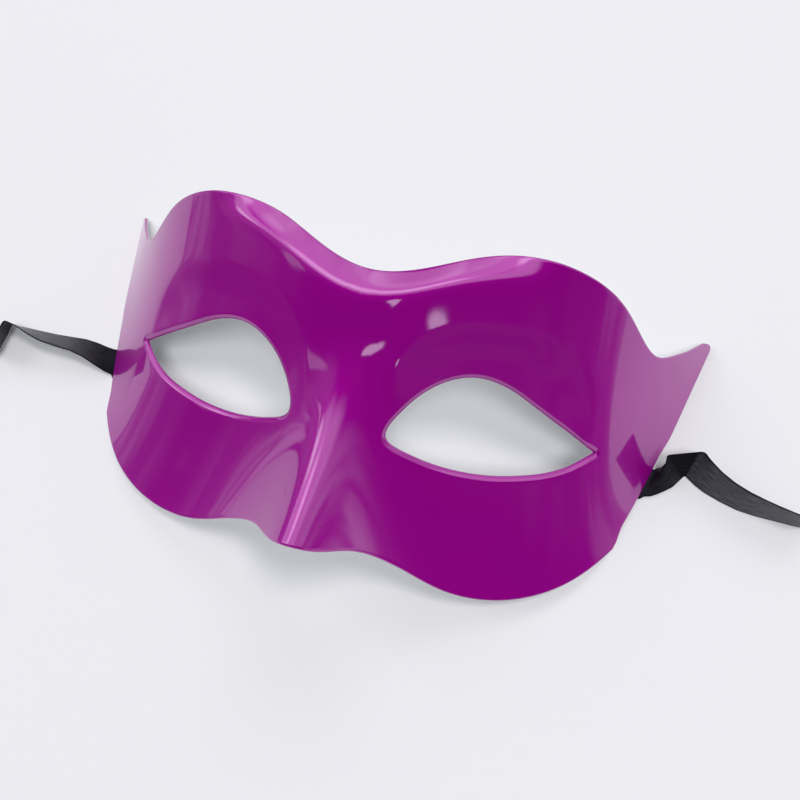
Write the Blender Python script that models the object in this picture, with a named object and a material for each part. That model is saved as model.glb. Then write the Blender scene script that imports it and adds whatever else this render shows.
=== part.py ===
"""Half mask: a thin moulded shell for the upper face with a satin ribbon at each temple.

The mask lies face up on a level surface, on the two straight rims at its temples.
+X runs across the mask to the right, +Y towards the brow and +Z out of the face.
The origin is under the middle of the shell, on the surface. Lengths are in metres.
"""
import math

import bpy
import numpy as np

# The shell's pattern: u runs along the arch from the centre line, v up the face from the eye corners
ARCH_HALF = 0.1004        # centre line to the point of the temple horn
BROW_RISE = 0.0443        # eye corners to the top of the brow
LOBE_DROP = 0.0387        # eye corners to the bottom of the cheek lobes
WALL = 0.0010
LEAN = 36.4               # degrees between the face and the surface that the mask lies on
CROWN = 0.0388            # height of the arch, square to the face
SIDE_SWEEP = 0.0196       # how far the temples fall back at the height of the brow
SIDE_DISH = 0.0069        # how far the temples curl forward at the height of the brow
HORN_CUT = 0.0027         # blunt end of the temple horn, measured up the face
TEMPLE_DROP = 0.0244      # eye corners to the lower corner of the temple

# Eye openings
EYE_INSET = 0.0129        # centre line to the inner corner
EYE_LENGTH = 0.0527
EYE_HEIGHT = 0.0140       # eye corners to the top of the opening
LIP_WIDTH = 0.0012        # band round the opening that turns inwards
LIP_DEPTH = 0.0007

# Nose
NOSE_TOP = 0.0200         # where the nose starts, above the eye corners
NOSE_LENGTH = 0.0550
NOSE_HEIGHT = 0.0533
NOSE_RISE_POWER = 1.45
NOSE_HALF = 0.0054        # half width at the bridge
NOSE_SPREAD = 0.90        # natural logarithm of the half width's growth down the nose
RIDGE_HALF = 0.0047       # rounding along the ridge

# Rolled band along the top edge
ROLL_WIDTH = 0.0048
ROLL_DEPTH = 0.0060
ROLL_SOFTNESS = 0.16
ROLL_FLAT = 0.0240        # the band keeps its depth this far from the centre line
ROLL_END = 0.0460

# Shallow socket over each eye
SOCKET_DEPTH = 0.0011
SOCKET_CENTRE_U = 0.0360
SOCKET_CENTRE_V = 0.0040
SOCKET_HALF_LENGTH = 0.0250
SOCKET_HALF_HEIGHT = 0.0220
SOCKET_POWER = 2.4
SOCKET_FLOOR = 0.4        # the socket's side runs between these two shares of its reach
SOCKET_EDGE = 1.25
SOCKET_LOW = -0.0080      # the socket fades out between these two heights
SOCKET_FULL = 0.0040

# Ribbons
RIBBON_WIDTH = 0.0093
RIBBON_THICKNESS = 0.0003
RIBBON_GAP = 0.00036      # between the ribbon's middle and the shell
RIBBON_TAIL = 0.0140      # length held flat against the inside of the temple
RIGHT_CROSSING = -0.0084  # height at which each ribbon crosses the rim, on the pattern
LEFT_CROSSING = -0.0121

# The rim stands clear of the surface where a ribbon passes under it, alike on both sides
PASS_HEIGHT = 0.0008
PASS_MARGIN = 0.0015
PASS_MIDDLE = (RIGHT_CROSSING + LEFT_CROSSING) / 2
PASS_HALF = (RIBBON_WIDTH + RIGHT_CROSSING - LEFT_CROSSING) / 2 + PASS_MARGIN
PASS_RAMP = 0.0060

# Bend of the arch: distance along it as a share of ARCH_HALF, slope in degrees
BEND = ((0.0, 0.0), (0.20, 14.1), (0.40, 15.6), (0.55, 27.9), (0.70, 42.4), (0.85, 49.3), (1.0, 52.5),
        (1.15, 52.5))

# Top edge: share of ARCH_HALF, share of BROW_RISE
TOP_EDGE = ((0.0, 0.775), (0.10, 0.818), (0.22, 0.926), (0.36, 1.0), (0.50, 0.963), (0.62, 0.833),
            (0.72, 0.641), (0.79, 0.555), (0.86, 0.561), (0.93, 0.588), (1.0, 0.630))

# Bottom edge: share of ARCH_HALF, share of LOBE_DROP
BOTTOM_EDGE = ((0.0, 0.625), (0.06, 0.674), (0.12, 0.711), (0.18, 0.775), (0.25, 0.868), (0.34, 0.970),
               (0.45, 1.0), (0.57, 0.940), (0.68, 0.825), (0.77, 0.684))

# Eye opening, from the outer corner over the top: share of EYE_LENGTH, share of EYE_HEIGHT
EYE_EDGE = ((1.0, 0.0), (0.821, 0.315), (0.644, 0.643), (0.487, 0.916), (0.318, 1.0), (0.153, 0.720),
            (0.037, 0.213), (0.0, -0.189), (0.088, -0.408), (0.269, -0.598), (0.464, -0.628),
            (0.655, -0.518), (0.833, -0.325), (1.0, 0.0))

# Grid between the eye opening and the shell's edge: stretches of the edge, faces along each, and the
# share of the way round the eye opening that each one ends at
STRETCHES = (("temple_up", 8, 0.065), ("horn", 4, 0.080), ("top", 30, 0.43), ("centre", 12, 0.58),
             ("bottom", 26, 0.94), ("temple_down", 6, 1.0))
RINGS = (0.0, 0.16, 0.34, 0.54, 0.76, 1.0)

# Ribbon routes outside the rim, chosen by hand, in millimetres: x, y and z of the edge on the brow's side,
# then of the edge on the cheek's side
RIGHT_ROUTE = (
    (79.5, 6.3, 0.4, 77.3, -2.3, 0.4),
    (79.9, 5.7, 3.0, 79.0, -1.8, 0.4),
    (80.0, 5.5, 5.0, 80.6, -0.7, 0.4),
    (80.2, 5.9, 6.6, 82.2, 0.6, 0.4),
    (80.2, 6.7, 7.4, 84.0, 2.2, 0.4),
    (80.2, 7.7, 7.6, 86.0, 5.3, 0.4),
    (80.7, 8.0, 7.7, 86.4, 5.9, 0.5),
    (88.4, 10.7, 8.5, 86.9, 6.1, 0.5),
    (89.1, 10.6, 8.6, 87.2, 5.9, 0.5),
    (90.1, 9.5, 8.6, 88.1, 5.3, 0.4),
    (91.6, 8.2, 8.7, 89.9, 4.1, 0.4),
    (93.7, 6.5, 8.8, 92.2, 3.0, 0.3),
    (97.2, 4.5, 8.9, 96.5, 1.6, 0.3),
    (101.0, 3.0, 9.0, 101.2, 0.5, 0.3),
    (104.7, 2.0, 9.1, 105.7, 0.2, 0.3),
    (108.4, 1.2, 9.1, 110.0, 0.2, 0.3),
    (112.1, 0.6, 9.0, 114.2, 0.2, 0.3),
    (114.8, 0.2, 8.9, 117.4, 0.3, 0.3),
)
LEFT_ROUTE = (
    (-78.0, 0.9, 0.4, -75.4, -6.8, 0.4),
    (-80.4, 1.1, 0.3, -77.4, -6.7, 1.6),
    (-84.2, 1.6, 0.3, -80.6, -6.0, 3.6),
    (-88.0, 1.8, 0.3, -83.8, -5.1, 5.0),
    (-92.2, 1.4, 0.3, -87.9, -4.5, 5.9),
    (-97.0, 1.0, 0.3, -92.5, -4.5, 6.4),
    (-101.9, 0.8, 0.3, -97.2, -4.3, 6.9),
    (-106.3, 0.7, 0.3, -101.3, -3.4, 7.4),
    (-109.7, 0.6, 0.3, -104.6, -2.3, 7.8),
    (-111.8, 0.7, 0.3, -107.2, -1.8, 8.3),
    (-112.2, 0.5, 0.3, -109.1, -1.6, 8.6),
    (-112.4, -0.3, 0.3, -109.3, -2.4, 8.6),
    (-112.2, -2.9, 0.3, -109.3, -4.8, 8.6),
    (-112.3, -5.2, 0.3, -109.2, -7.1, 8.6),
    (-112.4, -7.4, 0.3, -109.2, -9.4, 8.5),
    (-112.6, -9.6, 0.3, -109.3, -11.6, 8.3),
)
MILLIMETRE = 0.001
RIBBON_SECTIONS = 72
RIBBON_FINE = 2000        # points that the edges are smoothed over
CREASE_ROUNDING = 0.0008  # each point is the average of its neighbours this near along the edges
TAIL_SECTIONS = 6
TAIL_BEND = 0.0030        # the tail leaves the wall this far above the rim
UNDER_RIM = 0.0001        # under the rim the ribbon clears the surface by this much
UNDER_INSIDE = 0.0016     # it runs level from here inside the rim
UNDER_OUTSIDE = 0.0004    # to here outside it

# Fineness of the working curves
LINE_POINTS = 400
FINE_STEPS = 8            # steps of a smooth edge between two points of the grid
ARCH_REACH = 1.3          # the arch is worked out this far past the horn, as a share of ARCH_HALF
RIM_NEAR = 0.6            # the rim is looked for between these shares of ARCH_HALF
RIM_FAR = 1.25
RIM_HALVINGS = 40
NORMAL_STEP = 0.0002
CENTRE_MARGIN = 0.000001  # points this near the centre line lie on it
SHARP_ANGLE = 40.0        # degrees; the shading breaks at sharper edges

PLASTIC_COLOUR = (0.235, 0.001, 0.190, 1.0)
RIBBON_COLOUR = (0.012, 0.011, 0.016, 1.0)


def clear_scene():
    """Start from an empty scene."""
    for item in list(bpy.data.objects):
        bpy.data.objects.remove(item, do_unlink=True)


def make_material(name, colour, roughness, metallic=0.0):
    material = bpy.data.materials.new(name)
    material.use_nodes = True
    shader = material.node_tree.nodes["Principled BSDF"]
    shader.inputs["Base Color"].default_value = colour
    shader.inputs["Roughness"].default_value = roughness
    shader.inputs["Metallic"].default_value = metallic
    material.diffuse_color = colour
    return material


def make_object(name, points, faces, material):
    """A mesh object, smooth except along its sharp edges."""
    mesh = bpy.data.meshes.new(name)
    mesh.from_pydata([tuple(point) for point in points], [], faces)
    mesh.update()
    mesh.materials.append(material)
    mesh.shade_smooth()
    mesh.set_sharp_from_angle(angle=math.radians(SHARP_ANGLE))
    item = bpy.data.objects.new(name, mesh)
    bpy.context.scene.collection.objects.link(item)
    return item


def smooth_step(low, high, value):
    share = np.clip((value - low) / (high - low), 0.0, 1.0)
    return share * share * (3.0 - 2.0 * share)


def spline(knots, values, at):
    """Natural cubic spline through the values at the knots."""
    knots = np.asarray(knots, float)
    values = np.asarray(values, float).reshape(len(knots), -1)
    step = np.diff(knots)
    size = len(knots)
    system = np.eye(size)
    right = np.zeros_like(values)
    for row in range(1, size - 1):
        system[row, row - 1:row + 2] = step[row - 1], 2 * (step[row - 1] + step[row]), step[row]
        slope_after = (values[row + 1] - values[row]) / step[row]
        slope_before = (values[row] - values[row - 1]) / step[row - 1]
        right[row] = 6 * (slope_after - slope_before)
    bend = np.linalg.solve(system, right)
    span = np.clip(np.searchsorted(knots, at, side="right") - 1, 0, size - 2)
    width = step[span][:, None]
    before = (knots[span + 1] - at)[:, None]
    after = (at - knots[span])[:, None]
    cubic = (bend[span] * before ** 3 + bend[span + 1] * after ** 3) / (6 * width)
    low = values[span] / width - bend[span] * width / 6
    high = values[span + 1] / width - bend[span + 1] * width / 6
    return cubic + low * before + high * after


def smooth_line(points, count):
    """Points spread evenly along a smooth curve through the given points."""
    points = np.asarray(points, float)
    length = np.concatenate([[0.0], np.cumsum(np.linalg.norm(np.diff(points, axis=0), axis=1))])
    return spline(length, points, np.linspace(0.0, length[-1], count))


def resample(line, count):
    """The line again, as count points at equal distances."""
    length = np.concatenate([[0.0], np.cumsum(np.linalg.norm(np.diff(line, axis=0), axis=1))])
    places = np.linspace(0.0, length[-1], count)
    return np.stack([np.interp(places, length, column) for column in line.T], axis=1)


def mirrored(points):
    """A half edge that starts on the centre line, with its mirror image before it."""
    points = np.asarray(points, float)
    return np.vstack([points[:0:-1] * (-1, 1), points])


def half_line(points, count):
    """The right half of a smooth edge that is the same on both sides of the centre line."""
    fine = smooth_line(mirrored(points), 2 * count * FINE_STEPS - 1)
    return resample(fine[len(fine) // 2:], count)


def arch_table():
    """Distance along the arch, and the arch's x and fall there."""
    along = np.linspace(0.0, ARCH_REACH * ARCH_HALF, LINE_POINTS)
    shares, degrees = zip(*BEND)
    slope = np.radians(spline(np.array(shares) * ARCH_HALF, degrees, along)[:, 0])
    step = along[1] - along[0]
    across = np.concatenate([[0.0], np.cumsum((np.cos(slope[1:]) + np.cos(slope[:-1])) / 2 * step)])
    fall = np.concatenate([[0.0], np.cumsum((np.sin(slope[1:]) + np.sin(slope[:-1])) / 2 * step)])
    return along, across, fall


def top_edge_points():
    return [(u * ARCH_HALF, v * BROW_RISE) for u, v in TOP_EDGE]


ARCH = arch_table()


def nose(u, v):
    """How far the nose stands out of the arch."""
    down = np.maximum((NOSE_TOP - v) / NOSE_LENGTH, 0.0)
    half = NOSE_HALF * np.exp(NOSE_SPREAD * down)
    flank = np.exp(-np.hypot(u, RIDGE_HALF) / half)
    return NOSE_HEIGHT * down ** NOSE_RISE_POWER * flank


def brow_roll(u, v):
    """How far the band along the top edge falls back."""
    points = mirrored(top_edge_points())
    top = spline(points[:, 0], points[:, 1], np.minimum(u, ARCH_HALF))[:, 0]
    share = 1.0 - (top - v) / ROLL_WIDTH
    fade = 1.0 - smooth_step(ROLL_FLAT, ROLL_END, u)
    return ROLL_DEPTH * fade * ROLL_SOFTNESS * np.logaddexp(0.0, share / ROLL_SOFTNESS)


def eye_socket(u, v):
    """Depth of the shallow socket round the upper half of the eye."""
    reach = (np.abs(u - SOCKET_CENTRE_U) / SOCKET_HALF_LENGTH) ** SOCKET_POWER
    reach += (np.abs(v - SOCKET_CENTRE_V) / SOCKET_HALF_HEIGHT) ** SOCKET_POWER
    inside = 1.0 - smooth_step(SOCKET_FLOOR, SOCKET_EDGE, reach)
    return SOCKET_DEPTH * inside * smooth_step(SOCKET_LOW, SOCKET_FULL, v)


def shell_points(u, v):
    """Outer face of the shell's right half, in the lying position, before it is centred along Y."""
    along, across, fall = ARCH
    out = (u / ARCH_HALF) ** 2
    height = CROWN - np.interp(u, along, fall)
    height += out * (SIDE_DISH * (v / BROW_RISE) ** 2 - SIDE_SWEEP * v / BROW_RISE)
    height += nose(u, v) - brow_roll(u, v) - eye_socket(u, v)
    lean = math.radians(LEAN)
    x = np.interp(u, along, across)
    y = v * math.cos(lean) - height * math.sin(lean)
    z = height * math.cos(lean) + v * math.sin(lean)
    return np.stack([x, y, z], axis=1)


def mirror_points(u, v):
    """Outer face of the shell on either side: negative u lies on the left."""
    points = shell_points(np.abs(u), v)
    points[:, 0] *= np.sign(u)
    return points


def shell_normals(u, v):
    """Directions square to the shell's outer face, pointing out of it."""
    along_u = mirror_points(u + NORMAL_STEP, v) - mirror_points(u - NORMAL_STEP, v)
    along_v = mirror_points(u, v + NORMAL_STEP) - mirror_points(u, v - NORMAL_STEP)
    normal = np.cross(along_u, along_v)
    return normal / np.linalg.norm(normal, axis=1)[:, None]


def rim_height(v):
    """Height of the temple's rim over the surface: none, except where the ribbon passes."""
    away = np.abs(v - PASS_MIDDLE)
    return PASS_HEIGHT * (1.0 - smooth_step(PASS_HALF, PASS_HALF + PASS_RAMP, away))


def rim_line(v):
    """Distance along the arch at which the shell comes down to its rim."""
    low = np.full(len(v), RIM_NEAR * ARCH_HALF)
    high = np.full(len(v), RIM_FAR * ARCH_HALF)
    for _ in range(RIM_HALVINGS):
        middle = (low + high) / 2
        below = shell_points(middle, v)[:, 2] < rim_height(v)
        high = np.where(below, middle, high)
        low = np.where(below, low, middle)
    return (low + high) / 2


def temple_edge(start, end, count):
    v = np.linspace(start, end, count)
    return np.stack([rim_line(v), v], axis=1)


def rounded_corner(start, corner, end, count):
    """A curve from start to end that turns in front of the corner."""
    share = np.linspace(0.0, 1.0, count)[:, None]
    return start * (1 - share) ** 2 + 2 * corner * share * (1 - share) + end * share ** 2


def edge_stretches():
    """The shell's edge as the stretches of the grid, each a line on the pattern."""
    counts = {name: count + 1 for name, count, _ in STRETCHES}
    horn = top_edge_points()[-1]
    corner_v = -TEMPLE_DROP
    corner_u = rim_line(np.array([corner_v]))[0]
    bottom = [(u * ARCH_HALF, -v * LOBE_DROP) for u, v in BOTTOM_EDGE]
    bottom.append((corner_u, corner_v))
    lines = {
        "temple_up": temple_edge(0.0, horn[1] - HORN_CUT, counts["temple_up"]),
        "top": half_line(top_edge_points(), counts["top"])[::-1],
        "bottom": half_line(bottom, counts["bottom"]),
        "temple_down": temple_edge(corner_v, 0.0, counts["temple_down"]),
    }
    tip = temple_edge(horn[1], horn[1] + HORN_CUT, 2)[0]
    lines["horn"] = rounded_corner(lines["temple_up"][-1], tip, np.array(horn), counts["horn"])
    lines["centre"] = np.linspace(lines["top"][-1], lines["bottom"][0], counts["centre"])
    return lines


def pattern_grid():
    """The pattern as rings from the eye opening to the edge: an array of rings, places and (u, v)."""
    lines = edge_stretches()
    edge = np.vstack([lines[name][:-1] for name, _, _ in STRETCHES])
    eye_points = [(EYE_INSET + along * EYE_LENGTH, up * EYE_HEIGHT) for along, up in EYE_EDGE]
    eye_line = smooth_line(eye_points, LINE_POINTS)
    shares = []
    last = 0.0
    for _, count, end in STRETCHES:
        shares.extend(np.linspace(last, end, count, endpoint=False))
        last = end
    places = np.array(shares) * (len(eye_line) - 1)
    eye = np.stack([np.interp(places, np.arange(len(eye_line)), column) for column in eye_line.T], axis=1)
    along = np.roll(eye, -1, axis=0) - np.roll(eye, 1, axis=0)
    outwards = along[:, ::-1] * (1, -1) / np.linalg.norm(along, axis=1)[:, None]
    lip = eye + outwards * LIP_WIDTH
    return np.stack([eye] + [lip + share * (edge - lip) for share in RINGS])


def shell_sides(grid):
    """Points of the outer and the inner face for each place of the grid."""
    u, v = grid[..., 0].ravel(), grid[..., 1].ravel()
    normals = shell_normals(u, v)
    outer = shell_points(u, v)
    lip = np.zeros(grid.shape[:2])
    lip[0] = LIP_DEPTH
    outer -= normals * lip.ravel()[:, None]
    inner = outer - normals * WALL
    inner[:, 2] = np.maximum(inner[:, 2], rim_height(v))
    inner[:, 0] = np.where(u < CENTRE_MARGIN, 0.0, inner[:, 0])
    return outer.reshape(grid.shape[:2] + (3,)), inner.reshape(grid.shape[:2] + (3,))


def shell_mesh(outer, inner):
    """Right half of the shell, open on the centre line: outer face, inner face, edge and eye opening."""
    rings, places = outer.shape[:2]
    points = np.concatenate([outer.reshape(-1, 3), inner.reshape(-1, 3)])
    on_centre = np.abs(points[:, 0]) < CENTRE_MARGIN
    base = rings * places
    faces = []
    for ring in range(rings - 1):
        for place in range(places):
            after = (place + 1) % places
            quad = [ring * places + place, (ring + 1) * places + place,
                    (ring + 1) * places + after, ring * places + after]
            faces.append(quad)
            faces.append([base + corner for corner in reversed(quad)])
    for ring, towards_eye in ((0, True), (rings - 1, False)):
        for place in range(places):
            after = (place + 1) % places
            first, second = ring * places + place, ring * places + after
            if not towards_eye and on_centre[first] and on_centre[second]:
                continue
            quad = [first, second, base + second, base + first]
            faces.append(quad if towards_eye else quad[::-1])
    return points, faces


def mirror_half(item):
    """Make the left half as the mirror image of the right one, joined on the centre line."""
    mirror = item.modifiers.new("left_half", "MIRROR")
    mirror.use_axis = (True, False, False)
    mirror.use_mirror_merge = True
    mirror.merge_threshold = CENTRE_MARGIN


def ribbon_tail(crossing, side, shift):
    """The ribbon inside the temple and under its rim: rows of the brow-side and the cheek-side edge."""
    edge_v = crossing + np.array([-1, 0, 1]) * RIBBON_WIDTH / 2
    edge_u = rim_line(edge_v)
    along_rim = np.array([edge_u[2] - edge_u[0], edge_v[2] - edge_v[0]])
    along_rim *= RIBBON_WIDTH / 2 / np.linalg.norm(along_rim)
    inset = WALL + RIBBON_GAP + RIBBON_THICKNESS / 2
    inwards = np.linspace(RIBBON_TAIL, TAIL_BEND, TAIL_SECTIONS) / (RIBBON_WIDTH / 2)
    u = edge_u[1] - along_rim[1] * inwards
    v = crossing + along_rim[0] * inwards
    middle = shell_points(u, v) - shell_normals(u, v) * inset
    brow_side = shell_points(u + along_rim[0], v + along_rim[1])
    cheek_side = shell_points(u - along_rim[0], v - along_rim[1])
    half = brow_side - cheek_side
    half *= RIBBON_WIDTH / 2 / np.linalg.norm(half, axis=1)[:, None]
    under = np.repeat(shell_points(edge_u[1:2], edge_v[1:2]), 2, axis=0)
    under[:, 0] += -UNDER_INSIDE, UNDER_OUTSIDE
    under[:, 2] = UNDER_RIM + RIBBON_THICKNESS / 2
    middle = np.vstack([middle, under])
    middle[:, 1] -= shift
    half = np.vstack([half, half[-1:] * (1, 1, 0), half[-1:] * (1, 1, 0)])
    return np.hstack([middle + half, middle - half]) * (side, 1, 1, side, 1, 1)


def soften(line):
    """The line spread evenly, with its corners rounded."""
    fine = resample(line, RIBBON_FINE)
    reach = int(CREASE_ROUNDING / np.linalg.norm(fine[1] - fine[0]))
    padded = np.pad(fine, ((reach, reach), (0, 0)), mode="reflect", reflect_type="odd")
    window = np.ones(2 * reach + 1) / (2 * reach + 1)
    return np.stack([np.convolve(column, window, mode="valid") for column in padded.T], axis=1)


def ribbon_edges(route, crossing, side, shift):
    """Brow-side and cheek-side edge of the whole ribbon, a row for each section."""
    rows = np.vstack([ribbon_tail(crossing, side, shift), np.array(route) * MILLIMETRE])
    return resample(soften(rows), RIBBON_SECTIONS)


def ribbon_mesh(edges):
    """Closed flat strip between the two edges."""
    brow_side, cheek_side = edges[:, :3], edges[:, 3:]
    forward = np.gradient(brow_side + cheek_side, axis=0)
    face = np.cross(forward, brow_side - cheek_side)
    face *= RIBBON_THICKNESS / 2 / np.linalg.norm(face, axis=1)[:, None]
    corners = [brow_side + face, cheek_side + face, cheek_side - face, brow_side - face]
    points = np.stack(corners, axis=1).reshape(-1, 3)
    points[:, 2] = np.maximum(points[:, 2], 0.0)
    faces = [[3, 2, 1, 0]]
    for section in range(len(edges) - 1):
        start = section * 4
        for corner in range(4):
            after = (corner + 1) % 4
            faces.append([start + corner, start + after, start + 4 + after, start + 4 + corner])
    last = (len(edges) - 1) * 4
    faces.append([last, last + 1, last + 2, last + 3])
    return points, faces


def build():
    clear_scene()
    plastic = make_material("purple_plastic", PLASTIC_COLOUR, 0.12)
    satin = make_material("black_satin", RIBBON_COLOUR, 0.45)
    outer, inner = shell_sides(pattern_grid())
    everything = np.concatenate([outer.reshape(-1, 3), inner.reshape(-1, 3)])
    shift = (everything[:, 1].min() + everything[:, 1].max()) / 2
    outer[..., 1] -= shift
    inner[..., 1] -= shift
    mirror_half(make_object("mask_shell", *shell_mesh(outer, inner), plastic))
    right = ribbon_edges(RIGHT_ROUTE, RIGHT_CROSSING, 1, shift)
    left = ribbon_edges(LEFT_ROUTE, LEFT_CROSSING, -1, shift)
    make_object("ribbon_right", *ribbon_mesh(right), satin)
    make_object("ribbon_left", *ribbon_mesh(left), satin)


build()
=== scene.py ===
"""A glossy purple half mask lying face up on a pale surface, with a black satin ribbon at each temple.

The frame is the mask's own: +X across it to the right, +Y towards the brow and +Z out of the face.
Lengths are in metres unless a name says otherwise.
"""
import logging
import math
from dataclasses import dataclass, field
from enum import Enum
from typing import Sequence, Union

import bpy
import numpy as np
from mathutils import Matrix, Vector


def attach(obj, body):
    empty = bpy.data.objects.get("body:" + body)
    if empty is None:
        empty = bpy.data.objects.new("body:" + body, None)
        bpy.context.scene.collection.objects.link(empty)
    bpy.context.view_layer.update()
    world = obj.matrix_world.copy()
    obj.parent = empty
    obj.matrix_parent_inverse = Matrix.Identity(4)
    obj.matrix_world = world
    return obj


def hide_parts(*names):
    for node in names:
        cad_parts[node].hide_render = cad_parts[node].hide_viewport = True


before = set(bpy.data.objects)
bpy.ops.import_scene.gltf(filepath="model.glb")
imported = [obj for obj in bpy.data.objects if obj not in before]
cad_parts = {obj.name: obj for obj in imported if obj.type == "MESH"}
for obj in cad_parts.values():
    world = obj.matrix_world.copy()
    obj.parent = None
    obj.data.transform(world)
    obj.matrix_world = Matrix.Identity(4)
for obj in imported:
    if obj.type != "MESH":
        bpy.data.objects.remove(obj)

LOG = logging.getLogger("half_mask")
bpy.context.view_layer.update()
BODY = "root"
MILLIMETRES = 1000.0
SMOOTH_ANGLE = math.radians(50.0)
SAME_PLACE = 1e-7
CENTRE_GAP = 1e-6
ROUNDING = 1e-9
WHOLE = (0.0, 1.0)
Output = bpy.types.NodeSocket
Source = Union[Output, float, tuple]


class Side(Enum):
    """The side of the mask that a piece is on, as the sign of its x."""

    RIGHT = 1
    LEFT = -1


class Slot(Enum):
    """The material slots of the record."""

    PLASTIC = "purple_plastic"
    SATIN = "black_satin"


class Blend(Enum):
    """What a blending node works on."""

    COLOURS = "RGBA"
    NUMBERS = "FLOAT"


class Ramp(Enum):
    """How a number runs between the two ends of a range."""

    STRAIGHT = "LINEAR"
    SMOOTH = "SMOOTHSTEP"


def smooth_step(low: float, high: float, value: np.ndarray) -> np.ndarray:
    """Rise smoothly from 0 at low to 1 at high."""
    share = np.clip((value - low) / (high - low), 0.0, 1.0)
    return share * share * (3.0 - 2.0 * share)


def spline(knots: Sequence[float], values: Sequence, at: np.ndarray) -> np.ndarray:
    """Natural cubic spline.

    Args:
        knots: places of the values, rising.
        values: a number or a row of numbers for each knot.
        at: places to read the curve at.

    Returns:
        One row for each place.
    """
    knots = np.asarray(knots, float)
    values = np.asarray(values, float).reshape(len(knots), -1)
    step = np.diff(knots)
    size = len(knots)
    system = np.eye(size)
    right = np.zeros_like(values)
    for row in range(1, size - 1):
        system[row, row - 1:row + 2] = step[row - 1], 2 * (step[row - 1] + step[row]), step[row]
        slope_after = (values[row + 1] - values[row]) / step[row]
        slope_before = (values[row] - values[row - 1]) / step[row - 1]
        right[row] = 6 * (slope_after - slope_before)
    bend = np.linalg.solve(system, right)
    span = np.clip(np.searchsorted(knots, at, side="right") - 1, 0, size - 2)
    width = step[span][:, None]
    before = (knots[span + 1] - at)[:, None]
    after = (at - knots[span])[:, None]
    cubic = (bend[span] * before ** 3 + bend[span + 1] * after ** 3) / (6 * width)
    low = values[span] / width - bend[span] * width / 6
    high = values[span + 1] / width - bend[span + 1] * width / 6
    return cubic + low * before + high * after


def run_length(points: np.ndarray) -> np.ndarray:
    """Length of a line of points up to each of them."""
    return np.concatenate([[0.0], np.cumsum(np.linalg.norm(np.diff(points, axis=0), axis=1))])


def between(places: np.ndarray, knots: np.ndarray, rows: np.ndarray) -> np.ndarray:
    """Rows of numbers, one for each knot, read at other places along straight lines between them."""
    return np.stack([np.interp(places, knots, column) for column in rows.T], axis=1)


def smooth_line(points: Sequence, count: int) -> np.ndarray:
    """Points spread evenly along a smooth curve through the given points.

    Args:
        points: rows of numbers that the curve passes through.
        count: how many points to return.

    Returns:
        The points, one row each.
    """
    points = np.asarray(points, float)
    length = run_length(points)
    return spline(length, points, np.linspace(0.0, length[-1], count))


def resample(line: np.ndarray, count: int) -> np.ndarray:
    """The line again, as count points at equal distances."""
    length = run_length(line)
    return between(np.linspace(0.0, length[-1], count), length, line)


def make_active(item: bpy.types.Object) -> None:
    """Select one object alone and make it the active one."""
    bpy.ops.object.select_all(action="DESELECT")
    item.select_set(True)
    bpy.context.view_layer.objects.active = item


def read_points(mesh: bpy.types.Mesh) -> np.ndarray:
    """The places of a mesh's vertices, a row for each."""
    spots = np.empty(len(mesh.vertices) * 3)
    mesh.vertices.foreach_get("co", spots)
    return spots.reshape(-1, 3)


def write_points(mesh: bpy.types.Mesh, points: np.ndarray) -> None:
    """Move a mesh's vertices to the given places."""
    mesh.vertices.foreach_set("co", points.reshape(-1))
    mesh.update()


def mark_points(mesh: bpy.types.Mesh, name: str, values: np.ndarray) -> None:
    """Give each vertex of a mesh a number that its material reads by name."""
    mesh.attributes.new(name, "FLOAT", "POINT").data.foreach_set("value", values.ravel())


def add_grid(name: str, points: np.ndarray) -> bpy.types.Object:
    """Add a grid primitive and shape it.

    Args:
        name: name of the new object.
        points: places of its vertices, as rows of points.

    Returns:
        The object, active and alone selected.
    """
    rows, columns = points.shape[:2]
    bpy.ops.mesh.primitive_grid_add(x_subdivisions=columns - 1, y_subdivisions=rows - 1)
    item = bpy.context.object
    item.name = item.data.name = name
    write_points(item.data, points)
    make_active(item)
    return item


def close_mesh(item: bpy.types.Object) -> None:
    """Turn a closed mesh's faces outwards, by the sign of its volume, and shade it smooth."""
    mesh = item.data
    mesh.calc_loop_triangles()
    corners = np.empty(len(mesh.loop_triangles) * 3, int)
    mesh.loop_triangles.foreach_get("vertices", corners)
    spots = read_points(mesh)[corners].reshape(-1, 3, 3)
    volume = float((spots[:, 0] * np.cross(spots[:, 1], spots[:, 2])).sum() / 6)
    LOG.info("%s: volume %.0f cubic millimetres, %d triangles", item.name,
             abs(volume) * MILLIMETRES ** 3, len(spots))
    make_active(item)
    if volume < 0:
        bpy.ops.object.mode_set(mode="EDIT")
        bpy.ops.mesh.select_all(action="SELECT")
        bpy.ops.mesh.flip_normals()
        bpy.ops.object.mode_set(mode="OBJECT")
    bpy.ops.object.shade_smooth_by_angle(angle=SMOOTH_ANGLE)


@dataclass(frozen=True)
class Noise:
    """A cloudy noise.

    Attributes:
        scale: how many clouds there are in a unit of length.
        detail: how many finer layers it has.
    """

    scale: float
    detail: float


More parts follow.
